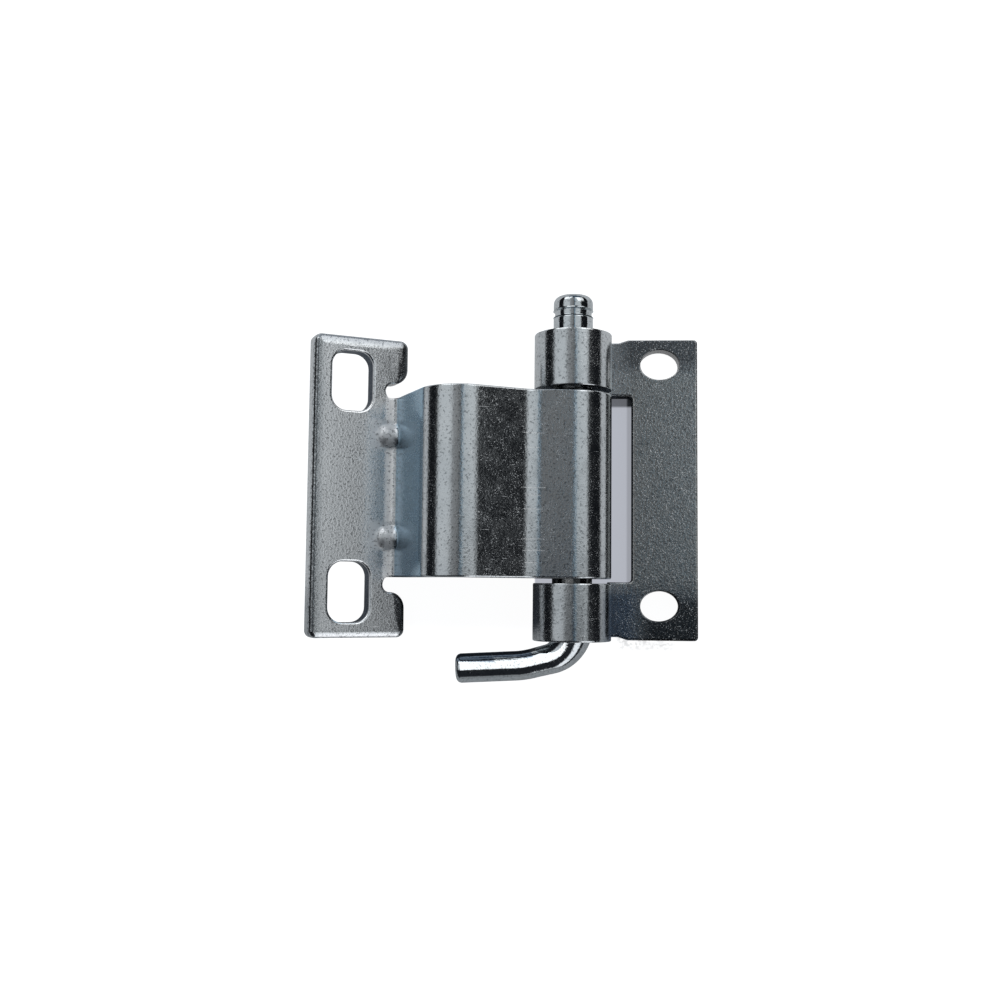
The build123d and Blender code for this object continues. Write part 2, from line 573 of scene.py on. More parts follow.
class Folder:
    """Writes the geometry trees that fold blanks and put them in place."""

    def __init__(self) -> None:
        """Builds the two groups that every tree uses."""
        self.fold = self.fold_group()
        self.press = self.press_group()

    @staticmethod
    def sockets(tree: bpy.types.NodeTree, names: Iterable[str], kind: str = "NodeSocketFloat") -> None:
        """Adds named inputs to a group."""
        for name in names:
            tree.interface.new_socket(name, in_out="INPUT", socket_type=kind)

    def begin(self, name: str, values: Iterable[str]) -> tuple[Board, bpy.types.Node]:
        """Starts a geometry group.

        Args:
            name: the group's name.
            values: names of its number inputs.

        Returns:
            The board and the node that holds the inputs.
        """
        tree = bpy.data.node_groups.new(name, "GeometryNodeTree")
        tree.interface.new_socket("Geometry", in_out="INPUT", socket_type="NodeSocketGeometry")
        tree.interface.new_socket("Geometry", in_out="OUTPUT", socket_type="NodeSocketGeometry")
        self.sockets(tree, values)
        return Board(tree), tree.nodes.new("NodeGroupInput")

    @staticmethod
    def spot(board: Board) -> list[Wire]:
        """The three coordinates of a point."""
        return board.split(board.node("GeometryNodeInputPosition", {}, {}))

    @staticmethod
    def attribute(board: Board, name: str) -> Wire:
        """A number that the blank keeps for each point."""
        return board.node("GeometryNodeInputNamedAttribute", {"data_type": "FLOAT"}, {"Name": name})

    def fold_group(self) -> bpy.types.NodeTree:
        """Group that bends everything past a line round a cylinder.

        Returns:
            The group.
        """
        names = ("Start", "Radius", "Length", "Line")
        board, given = self.begin("fold", names)
        start, radius, length, line = (Wire(board, given.outputs[name]) for name in names)
        x, y, z = self.spot(board)
        far = board.maths("MAXIMUM", length, 0.0)
        near = board.maths("MINIMUM", length, 0.0)
        past = self.attribute(board, "reach") - start
        used = board.maths("MAXIMUM", board.maths("MINIMUM", past, far), near)
        angle = used / radius
        sin = board.maths("SINE", angle)
        cos = board.maths("COSINE", angle)
        left = x - start - used
        up = y - line
        new_x = left * cos - up * sin + start + radius * sin
        new_y = left * sin + up * cos + radius * (1 - cos) + line
        place = board.node("ShaderNodeCombineXYZ", {}, {0: new_x, 1: new_y, 2: z})
        shape = Wire(board, given.outputs["Geometry"])
        moved = board.node("GeometryNodeSetPosition", {}, {"Geometry": shape, "Position": place})
        board.close("NodeGroupOutput", 0, moved)
        return board.tree

    def press_group(self) -> bpy.types.NodeTree:
        """Group that raises a pointed bulge across a corner, cut square at its lower end.

        Returns:
            The group.
        """
        names = ("Corner X", "Corner Y", "Height", "Radius", "Half", "Out", "Drop", "Face", "Soft")
        board, given = self.begin("press", names)
        wires = (Wire(board, given.outputs[name]) for name in names)
        corner_x, corner_y, height, radius, half, out, drop, face, soft = wires
        x, y, z = self.spot(board)
        root = math.sqrt(0.5)
        nowhere = -999.0
        right = x - corner_x
        back = y - corner_y
        along = (right - back) * root
        front = (right + back) * -root
        rise = z - height
        sweep = (half * half + radius * radius) / (radius * 2)
        inside = board.maths("MAXIMUM", sweep * sweep - along * along, 0.0)
        bow = board.maths("MAXIMUM", board.maths("SQRT", inside) - sweep + radius, 0.0)
        round_part = board.maths("MAXIMUM", bow * bow - rise * rise, 0.0)
        kept = board.maths("GREATER_THAN", rise, -drop) * board.maths("GREATER_THAN", round_part, 0.0)
        top = (out + board.maths("SQRT", round_part)) * kept + (1 - kept) * nowhere
        raised = board.maths("SMOOTH_MAX", front, top, soft)
        own = board.maths("COMPARE", self.attribute(board, "outer"), face, 0.5)
        lift = (raised - front) * own * -root
        offset = board.node("ShaderNodeCombineXYZ", {}, {0: lift, 1: lift, 2: 0.0})
        shape = Wire(board, given.outputs["Geometry"])
        moved = board.node("GeometryNodeSetPosition", {}, {"Geometry": shape, "Offset": offset})
        board.close("NodeGroupOutput", 0, moved)
        return board.tree

    def tree(
        self, name: str, bends: Sequence[Bend], darts: Sequence[Dart], place: Matrix, skin: bpy.types.Material
    ) -> tuple[bpy.types.NodeTree, dict[str, object]]:
        """Tree that folds a blank from its far end back, presses its darts and places it.

        Args:
            name: the tree's name.
            bends: the bends in order from the fixed end.
            darts: the pressed marks.
            place: where the folded piece goes, in metres.
            skin: the finish.

        Returns:
            The tree and the values of its named inputs.
        """
        values: dict[str, object] = {}
        for bend in bends:
            values[f"{bend.name} start"] = bend.start
            values[f"{bend.name} radius"] = bend.radius * bend.way.value
            values[f"{bend.name} length"] = bend.length
            values[f"{bend.name} line"] = bend.line
        for dart in darts:
            values[f"{dart.name} height"] = dart.height
            values[f"{dart.name} radius"] = dart.radius
            values[f"{dart.name} half length"] = dart.half
        board, given = self.begin(name, values)
        self.sockets(board.tree, ["place"], "NodeSocketVector")
        self.sockets(board.tree, ["turn"], "NodeSocketRotation")
        shape = Wire(board, given.outputs["Geometry"])
        for bend in reversed(bends):
            names = ("start", "radius", "length", "line")
            sizes = [Wire(board, given.outputs[f"{bend.name} {size}"]) for size in names]
            inputs = dict(enumerate([shape, *sizes]))
            shape = board.node("GeometryNodeGroup", {"node_tree": self.fold}, inputs)
        for dart in darts:
            names = ("height", "radius", "half length")
            sizes = [Wire(board, given.outputs[f"{dart.name} {size}"]) for size in names]
            rest = [dart.out, dart.drop, dart.face.value, dart.soft]
            inputs = dict(enumerate([shape, *dart.corner, *sizes, *rest]))
            shape = board.node("GeometryNodeGroup", {"node_tree": self.press}, inputs)
        sockets = {
            "Geometry": shape,
            "Translation": Wire(board, given.outputs["place"]),
            "Rotation": Wire(board, given.outputs["turn"]),
            "Scale": (MM, MM, MM),
        }
        shape = board.node("GeometryNodeTransform", {}, sockets)
        shape = board.node("GeometryNodeRealizeInstances", {}, {0: shape})
        shape = board.node("GeometryNodeSetMaterial", {}, {"Geometry": shape, "Material": skin})
        board.close("NodeGroupOutput", 0, shape)
        values["place"] = place.to_translation()
        values["turn"] = place.to_euler()
        return board.tree, values


def set_inputs(modifier: bpy.types.Modifier, values: dict[str, object]) -> None:
    """Sets a modifier's inputs by the identifiers of their sockets.

    Args:
        modifier: the Geometry Nodes modifier.
        values: input values by name.
    """
    for item in modifier.node_group.interface.items_tree:
        if item.item_type == "SOCKET" and item.in_out == "INPUT" and item.name in values:
            modifier[item.identifier] = values[item.name]


def settle(source: bpy.types.Object, name: str, crease: float) -> bpy.types.Object:
    """Turns a modified object into a plain mesh with clean shading.

    Args:
        source: the object with its modifiers, which is removed.
        name: name of the finished piece.
        crease: angle above which an edge stays sharp, in degrees.

    Returns:
        The finished piece, at the origin.
    """
    graph = bpy.context.evaluated_depsgraph_get()
    mesh = bpy.data.meshes.new_from_object(source.evaluated_get(graph))
    bpy.data.objects.remove(source)
    for attribute in ("reach", "outer"):
        if attribute in mesh.attributes:
            mesh.attributes.remove(mesh.attributes[attribute])
    mesh.shade_smooth()
    mesh.set_sharp_from_angle(angle=crease * DEGREE)
    piece = add(name, mesh)
    even = piece.modifiers.new("even", "WEIGHTED_NORMAL")
    even.keep_sharp = True
    graph = bpy.context.evaluated_depsgraph_get()
    shaded = bpy.data.meshes.new_from_object(piece.evaluated_get(graph))
    piece.modifiers.clear()
    piece.data = shaded
    shaded.name = name
    return piece


def fold(flat: bpy.types.Object, name: str, tree: tuple, crease: float = 40.0) -> bpy.types.Object:
    """Runs a folding tree on a blank.

    Args:
        flat: the blank.
        name: name of the finished piece.
        tree: the tree and its input values.
        crease: angle above which an edge stays sharp, in degrees.

    Returns:
        The folded piece.
    """
    modifier = flat.modifiers.new("folding", "NODES")
    modifier.node_group = tree[0]
    set_inputs(modifier, tree[1])
    return settle(flat, name, crease)


# Finishes

DRIFT_TONE = (0.34, 0.36, 0.37)
PIT_TONE = (0.10, 0.11, 0.12)
DOT_TONE = (0.95, 0.97, 0.98)
SCRATCH_TONE = (0.90, 0.92, 0.93)


@dataclass(frozen=True)
class Patch:
    """A part of the surface whose colour is set inside a box of the part's frame in millimetres: most patches
    are painted shade, painted highlights or painted reflections, and the scratch marks are the sheet's own.
    """

    low: tuple[float, float, float]
    high: tuple[float, float, float]
    tone: tuple[float, float, float]
    share: float
    soft: float
    ragged: float = 0.0
    dull: float = 0.0

    def mask(self, board: Board, place: Sequence[Wire], ragged: Wire) -> Wire:
        """Strength of the patch.

        Args:
            board: the material's board.
            place: the three coordinates in millimetres.
            ragged: noise about zero that roughens the outline.

        Returns:
            A value from 0 to its share.
        """
        moved = [value + ragged * self.ragged for value in place]
        return board.within(moved, self.low, self.high, self.soft, self.share)


@dataclass(frozen=True)
class Zinc:
    """Zinc plating with its grain, pits, burnished dots and scratches, and patches of painted shade, painted
    highlights and painted reflections.

    Scales are counts per millimetre and reliefs are micrometres. Past coarse_from, along x in
    millimetres, the grain is coarser and burnished more.
    """

    name: str
    tone: tuple[float, float, float]
    shade: tuple[float, float, float]
    sheen: float
    dull: float
    grain: float
    grain_relief: float
    wave_relief: float
    pits: float
    dots: float
    scratches: float
    patches: tuple[Patch, ...] = ()
    coarse_from: float = 38.5
    coarse_run: float = 4.0
    cloud_scale: float = 0.13
    drift_scale: float = 0.6
    thick_scale: float = 0.45
    fine_ratio: float = 2.1

    def material(self) -> bpy.types.Material:
        """Builds the finish.

        Returns:
            The material.
        """
        made = bpy.data.materials.new(self.name)
        board = Board.of(made)
        spot = self.millimetres(board)
        place = board.split(spot)
        cloud = self.noise(board, spot, self.cloud_scale, 3.0)
        drift = self.noise(board, spot, self.drift_scale, 3.0)
        grain = self.noise(board, spot, self.grain, 2.0)
        fine = self.noise(board, spot, self.grain * self.fine_ratio, 1.0)
        scratch = self.scratch(board, spot)
        pit = board.step(grain, 0.56, 0.68) * self.pits
        coarse = board.step(place[0], self.coarse_from, self.coarse_from + self.coarse_run)
        crowd = board.step(self.noise(board, spot, self.thick_scale, 4.0), 0.35, 0.65)
        dot = board.step(fine, 0.60, 0.72) * (crowd * 0.75 + 0.25 + coarse * 0.7) * self.dots
        colour = board.blend(board.step(cloud, 0.3, 0.7), self.tone, self.shade)
        colour = board.blend(board.step(drift, 0.52, 0.72) * 0.3, colour, DRIFT_TONE)
        rough = board.step(drift, 0.3, 0.75) * self.dull + self.sheen
        ragged = (fine + grain - 1.0) * 2.0
        # Most patches paint shade, highlights and reflections into the base colour; the scratch marks are the
        # sheet's own.
        for patch in self.patches:
            mask = patch.mask(board, place, ragged)
            colour = board.blend(mask, colour, patch.tone)
            rough = rough + mask * patch.dull
        for mark, tone in ((pit * 0.6, PIT_TONE), (dot * 0.5, DOT_TONE), (scratch * 0.6, SCRATCH_TONE)):
            colour = board.blend(mark, colour, tone)
        rough = rough + dot * 0.30 + scratch * 0.16
        relief = (grain + fine * 0.45) * (1 + coarse * 1.2) - scratch * 0.25
        relief = relief * self.grain_relief + cloud * self.wave_relief
        sockets = {"Strength": 1.0, "Distance": 1e-6, "Height": relief}
        normal = board.node("ShaderNodeBump", {}, sockets)
        sockets = {"Base Color": colour, "Metallic": 1.0, "Roughness": rough, "Normal": normal}
        shader = board.node("ShaderNodeBsdfPrincipled", {}, sockets)
        board.close("ShaderNodeOutputMaterial", "Surface", shader)
        return made

    @staticmethod
    def millimetres(board: Board) -> Wire:
        """Object coordinates counted in millimetres."""
        place = board.node("ShaderNodeTexCoord", {}, {}, out="Object")
        return board.node("ShaderNodeMapping", {}, {"Vector": place, "Scale": (1 / MM, 1 / MM, 1 / MM)})

    @staticmethod
    def noise(board: Board, spot: Wire, scale: float, detail: float) -> Wire:
        """Soft noise of a given count per millimetre."""
        return board.node("ShaderNodeTexNoise", {}, {"Vector": spot, "Scale": scale, "Detail": detail})

    def scratch(self, board: Board, spot: Wire) -> Wire:
        """Short fine scratches across and along the sheet.

        Args:
            board: the material's board.
            spot: coordinates in millimetres.

        Returns:
            Strength of the scratches, 0 where there are none.
        """
        total: Term = 0.0
        for turn, scale in (((0.1, 0.2, 0.1), (0.35, 0.35, 9.0)), ((0.5, 0.9, 0.2), (0.5, 7.0, 0.5))):
            sockets = {"Vector": spot, "Rotation": turn, "Scale": scale}
            turned = board.node("ShaderNodeMapping", {}, sockets)
            lines = self.noise(board, turned, 1.0, 1.5)
            total = board.step(lines, 0.72, 0.78) + total
        return total * self.scratches


# Pieces


@dataclass
class Axis:
    """The pin's axis in the part's frame and how the leaves lie about it, in millimetres."""

    x: float = 32.4
    y: float = -19.6
    rest_angle: float = 28.0
    bore_r: float = 3.35
    sheet: float = 3.0
    seam_gap: float = 0.3
    leaf_height: float = 50.0
    middle_half: float = 15.0

    @property
    def roll_mid(self) -> float:
        """Radius of the middle of the rolled sheet."""
        return self.bore_r + self.sheet / 2

    @property
    def roll_angle(self) -> float:
        """How far a knuckle is rolled, in radians."""
        return 2 * math.pi - math.acos((self.bore_r - self.seam_gap) / (self.bore_r + self.sheet))

    def place(self, lift: float, angle: float) -> Matrix:
        """Place of a piece that is folded in the side view.

        Args:
            lift: how far behind the axis its flat part's middle lies.
            angle: how far it is turned clockwise, in degrees.

        Returns:
            The placing matrix in metres.
        """
        to_axis = Matrix.Translation(Vector((self.x, self.y, 0)) * MM)
        turn = Matrix.Rotation(-angle * DEGREE, 4, "Z")
        return to_axis @ turn @ Matrix.Translation(Vector((0, lift, 0)) * MM)


@dataclass
class CrankedLeaf:
    """Slotted flange, wall, crown, arm and the middle knuckle, folded from one blank.

    The sizes from roll_over on round its edges, and those from grid_step on say how finely the blank
    is cut round the darts.
    """

    axis: Axis
    finish: Zinc
    flange_edge: float = -39.0
    flange_front: float = -16.6
    wall_front: float = -25.0
    tab_past: float = 2.3
    arm_front: float = 2.7
    foot_r: float = 1.5
    crown_r: float = 7.0
    neck_r: float = 6.0
    neck_rise: float = 27.0
    notch_w: float = 2.5
    notch_past: float = 0.1
    tab_corner: float = 1.3
    tab_shoulder: float = 2.6
    plate_corner: float = 1.2
    slot_u: float = -32.4
    slot_spacing: float = 35.0
    slot_w: float = 7.0
    slot_len: float = 10.0
    slot_corner: float = 2.5
    dart_pitch: float = 17.0
    dart_r: float = 2.1
    dart_half: float = 4.4
    dart_drop: float = 1.8
    dent_r: float = 1.3
    dent_half: float = 3.0
    dart_soft: float = 1.3
    dent_soft: float = 0.1
    end_corner: float = 0.2
    roll_over: Rim = Rim(1.8, 0.5)
    lower_roll: Rim = Rim(1.0, 0.45)
    side_roll: Rim = Rim(0.8, 1.5)
    plain_rim: Rim = Rim(0.3, 0.25)
    slot_rim: Rim = Rim(0.35, 0.3)
    rim_margin: float = 0.1
    lower_zone: float = 2.0
    side_run: float = 1.5
    notch_margin: float = 0.05
    past_run: float = 0.8
    aside_from: float = 1.0
    aside_run: float = 2.0
    grid_step: float = 0.2
    grid_zone: float = 4.8
    grid_before: float = 3.6
    grid_after: float = 3.4
    grid_beside: float = 0.9
    lip_gap: float = 0.03

    def bends(self) -> list[Bend]:
        """The four bends, from the foot of the wall to the rolled knuckle.

        Returns:
            Their places along the blank.
        """
        sheet = self.axis.sheet
        flange_mid = self.flange_front - sheet / 2
        wall_mid = self.wall_front + sheet / 2
        arm_mid = self.arm_front - sheet / 2
        foot = self.foot_r + sheet / 2
        crown = self.crown_r - sheet / 2
        neck = self.neck_r + sheet / 2
        rise = self.neck_rise * DEGREE
        roll_mid = self.axis.roll_mid
        tangent_u = -roll_mid * math.sin(rise)
        tangent_v = roll_mid * math.cos(rise)
        corner_u = tangent_u - (tangent_v - arm_mid) / math.tan(rise)
        neck_run = neck * math.tan(rise / 2)
        wall = (arm_mid - crown) - (flange_mid + foot)
        arm = (corner_u - neck_run) - (wall_mid + crown)
        last = math.hypot(tangent_u - corner_u, tangent_v - arm_mid) - neck_run
        first = Bend("foot", wall_mid - foot, foot, math.pi / 2, Way.FRONT)
        second = Bend("crown", first.end + wall, crown, math.pi / 2, Way.BACK)
        third = Bend("neck", second.end + arm, neck, rise, Way.FRONT)
        roll = Bend("knuckle", third.end + last, roll_mid, self.axis.roll_angle, Way.BACK)
        return [first, second, third, roll]

    def outline(self, end: float) -> list[Corner]:
        """Outline of the blank with its tabs and relief notches.

        Args:
            end: where the rolled end stops.

        Returns:
            Its corners, with the sheet on the left.
        """
        top = self.axis.leaf_height / 2
        strip = self.axis.middle_half
        tab = self.wall_front + self.tab_past
        notch = self.wall_front - self.foot_r - self.notch_past
        half = self.notch_w / 2
        upper = [
            Corner(end, strip, self.end_corner),
            Corner(notch, strip, half),
            Corner(notch, strip + self.notch_w, half),
            Corner(tab, strip + self.notch_w, self.tab_shoulder),
            Corner(tab, top, self.tab_corner),
            Corner(self.flange_edge, top, self.plate_corner),
        ]
        lower = [Corner(c.x, -c.z, c.radius) for c in reversed(upper)]
        return upper + lower

    def rim(self, spot: Vector) -> Rim:
        """Rounding of the punched edge at a place of the outline.

        Args:
            spot: the place on the blank.

        Returns:
            Wide rolled edges round the flange, a small one in the slots and along the strip.
        """
        inner = abs(spot.x - self.slot_u) < self.slot_w / 2 + self.rim_margin
        from_slot = abs(abs(spot.y) - self.slot_spacing / 2)
        if inner and from_slot < self.slot_len / 2 + self.rim_margin:
            return self.slot_rim
        lower = spot.y < self.lower_zone - self.axis.leaf_height / 2
        wide = self.lower_roll if lower else self.roll_over
        from_side = spot.x - self.flange_edge
        if from_side < self.side_run:
            return self.side_roll.towards(wide, from_side / self.side_run)
        past = abs(spot.y) - self.axis.middle_half - self.notch_w
        if past < -self.notch_margin:
            return self.plain_rim
        aside = spot.x - (self.wall_front - self.foot_r) + self.aside_from - self.notch_w
        return self.plain_rim.towards(wide, max(past / self.past_run, aside / self.aside_run))

    def darts(self) -> list[Dart]:
        """The two pressed darts and the dents behind them.

        Returns:
            A dart and its dent at each height.
        """
        corner = (self.wall_front, -self.axis.sheet / 2)
        behind = self.foot_r * math.sqrt(2) - self.foot_r - self.axis.sheet
        dent_drop = self.dart_drop * self.dent_r / self.dart_r
        front = (self.dart_r, self.dart_half, 0.0, self.dart_drop, Face.OUTER, self.dart_soft)
        back = (self.dent_r, self.dent_half, behind, dent_drop, Face.INNER, self.dent_soft)
        made = []
        for side, word in ((-1, "lower"), (1, "upper")):
            height = side * self.dart_pitch / 2
            made.append(Dart(f"{word} dart", corner, height, *front))
            made.append(Dart(f"{word} dent", corner, height, *back))
        return made

    def blank(self, bends: Sequence[Bend]) -> bpy.types.Object:
        """Punches and cuts the flat blank.

        Args:
            bends: the bends it will get.

        Returns:
            The flat object.
        """
        end = bends[-1].end
        loops = [walk(self.outline(end))]
        for side in (-1, 1):
            spot = side * self.slot_spacing / 2
            slot = slot_outline(self.slot_u, spot, self.slot_w, self.slot_len, self.slot_corner)
            loops.append(walk(slot))
        flat = Blank(self.axis.sheet, loops, self.rim)
        flat.punch()
        foot = bends[0]
        half = self.axis.middle_half + self.notch_w / 2
        wide = self.axis.leaf_height
        # The first cuts part the flange from the strip, and the next ones stay in the strip.
        places = [foot.start - self.grid_zone, foot.start - FLAT_STRIP, foot.start]
        flat.cut(0, places, (-FAR, -wide), (FAR, wide))
        for bend in bends:
            flat.cut(0, bend.cuts(), (foot.start, -half), (end, half))
        self.cut_darts(flat, foot, bends[1].start)
        return flat.finish("cranked_blank", lambda p: p.x if abs(p.z) < half else min(p.x, foot.start))

    def cut_darts(self, flat: Blank, foot: Bend, wall_end: float) -> None:
        """Cuts a fine grid where the darts are pressed.

        Args:
            flat: the blank.
            foot: the bend that they stand in.
            wall_end: where the flat part of the wall ends.
        """
        left, right = foot.start - self.grid_before, foot.end + self.grid_after
        zone, strip = foot.start - self.grid_zone, self.axis.middle_half
        reach = self.dart_r + self.grid_beside
        for side in (-1, 1):
            middle = side * self.dart_pitch / 2
            low, high = middle - reach, middle + reach
            flat.cut(2, [low, high], (zone, -strip), (wall_end, strip))
            flat.cut(0, [left, right], (zone, low), (wall_end, high))
            lip = middle - self.dart_drop
            rows = spread(low, high, math.ceil((high - low) / self.grid_step))
            flat.cut(2, rows + [lip - self.lip_gap, lip + self.lip_gap], (left, low), (right, high))
            columns = spread(left, right, math.ceil((right - left) / self.grid_step))
            flat.cut(0, columns, (left, low), (right, high))

    def build(self, folder: Folder) -> bpy.types.Object:
        """Makes the leaf.

        Args:
            folder: writes the folding tree.

        Returns:
            The finished leaf, riding on its body.
        """
        bends = self.bends()
        lift = -(self.flange_front - self.axis.sheet / 2)
        tree = folder.tree(
            "fold_cranked_leaf", bends, self.darts(), self.axis.place(lift, 0.0), self.finish.material()
        )
        leaf = fold(self.blank(bends), "cranked_leaf_sheet", tree)
        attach(leaf, "cranked_side")
        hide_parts("swan_neck_leaf")
        return leaf


@dataclass
class FlatLeaf:
    """Plate with window and screw holes, and the two outer knuckles rolled from it."""

    axis: Axis
    finish: Zinc
    plate_end: float = 20.7
    plate_corner: float = 0.6
    knuckle_gap: float = 0.75
    window_end: float = 9.9
    window_gap: float = 0.5
    window_corner: float = 0.6
    hole_u: float = 14.45
    hole_spacing: float = 40.2
    hole_lift: float = 0.7
    hole_w: float = 5.0
    hole_len: float = 6.4
    relief_depth: float = 0.5
    relief_from: float = 5.9
    relief_to: float = 7.6
    relief_run: float = 1.6
    rim_front: Rim = Rim(0.35, 0.3)
    rim_hole: Rim = Rim(0.2, 0.15)
    rim_margin: float = 0.1
    hole_zone: tuple[float, float] = (16.0, 23.5)
    run_corner: float = 0.8
    relief_corner: float = 0.5
    step_corner: float = 0.12
    end_corner: float = 0.2
    inner_corner: float = 0.1

    def bend(self) -> Bend:
        """The roll of the knuckles, which runs from the axis away from the plate."""
        return Bend("knuckle", 0.0, self.axis.roll_mid, self.axis.roll_angle, Way.FRONT, along=-1)

    def outline(self, end: float) -> list[Corner]:
        """Outline of the blank with the window open between the two strips.

        Args:
            end: where the rolled ends stop.

        Returns:
            Its corners, with the sheet on the left.
        """
        top = self.axis.leaf_height / 2
        inner = self.axis.middle_half + self.knuckle_gap
        window = self.axis.middle_half + self.window_gap
        relief = top - self.relief_depth
        upper = [
            Corner(self.plate_end, top, self.plate_corner),
            Corner(self.relief_to + self.relief_run, top, self.run_corner),
            Corner(self.relief_to, relief, self.relief_corner),
            Corner(self.relief_from, relief, self.step_corner),
            Corner(self.relief_from, top, self.step_corner),
            Corner(end, top, self.end_corner),
            Corner(end, inner, self.end_corner),
            Corner(self.relief_from, inner, self.inner_corner),
            Corner(self.relief_from, window, self.inner_corner),
            Corner(self.window_end, window, self.window_corner),
        ]
        lower = [Corner(c.x, -c.z, c.radius) for c in reversed(upper)]
        return upper + lower

    def rim(self, spot: Vector) -> Rim:
        """Rounding of the punched edge at a place of the outline.

        Args:
            spot: the place on the blank.

        Returns:
            A small rounding, smaller still in the screw holes.
        """
        beside = abs(spot.x - self.hole_u) < self.hole_len / 2 + self.rim_margin
        level = self.hole_zone[0] < abs(spot.y) < self.hole_zone[1]
        return self.rim_hole if beside and level else self.rim_front

    def build(self, folder: Folder) -> bpy.types.Object:
        """Makes the leaf.

        Args:
            folder: writes the folding tree.

        Returns:
            The finished leaf, riding on its body.
        """
        bend = self.bend()
        loops = [walk(self.outline(bend.end))]
        for side in (-1, 1):
            spot = side * self.hole_spacing / 2 + self.hole_lift
            loops.append(oval(self.hole_u, spot, self.hole_len, self.hole_w))
        flat = Blank(self.axis.sheet, loops, self.rim)
        flat.punch()
        wide = self.axis.leaf_height
        flat.cut(0, [FLAT_STRIP, 0.0], (-FAR, -wide), (FAR, wide))
        flat.cut(0, bend.cuts(), (bend.end, -wide), (0.0, wide))
        blank = flat.finish("flat_blank", lambda p: p.x)
        place = self.axis.place(self.axis.roll_mid, self.axis.rest_angle)
        tree = folder.tree("fold_flat_leaf", [bend], [], place, self.finish.material())
        leaf = fold(blank, "flat_leaf_sheet", tree)
        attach(leaf, "flat_side")
        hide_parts("flat_leaf")
        return leaf


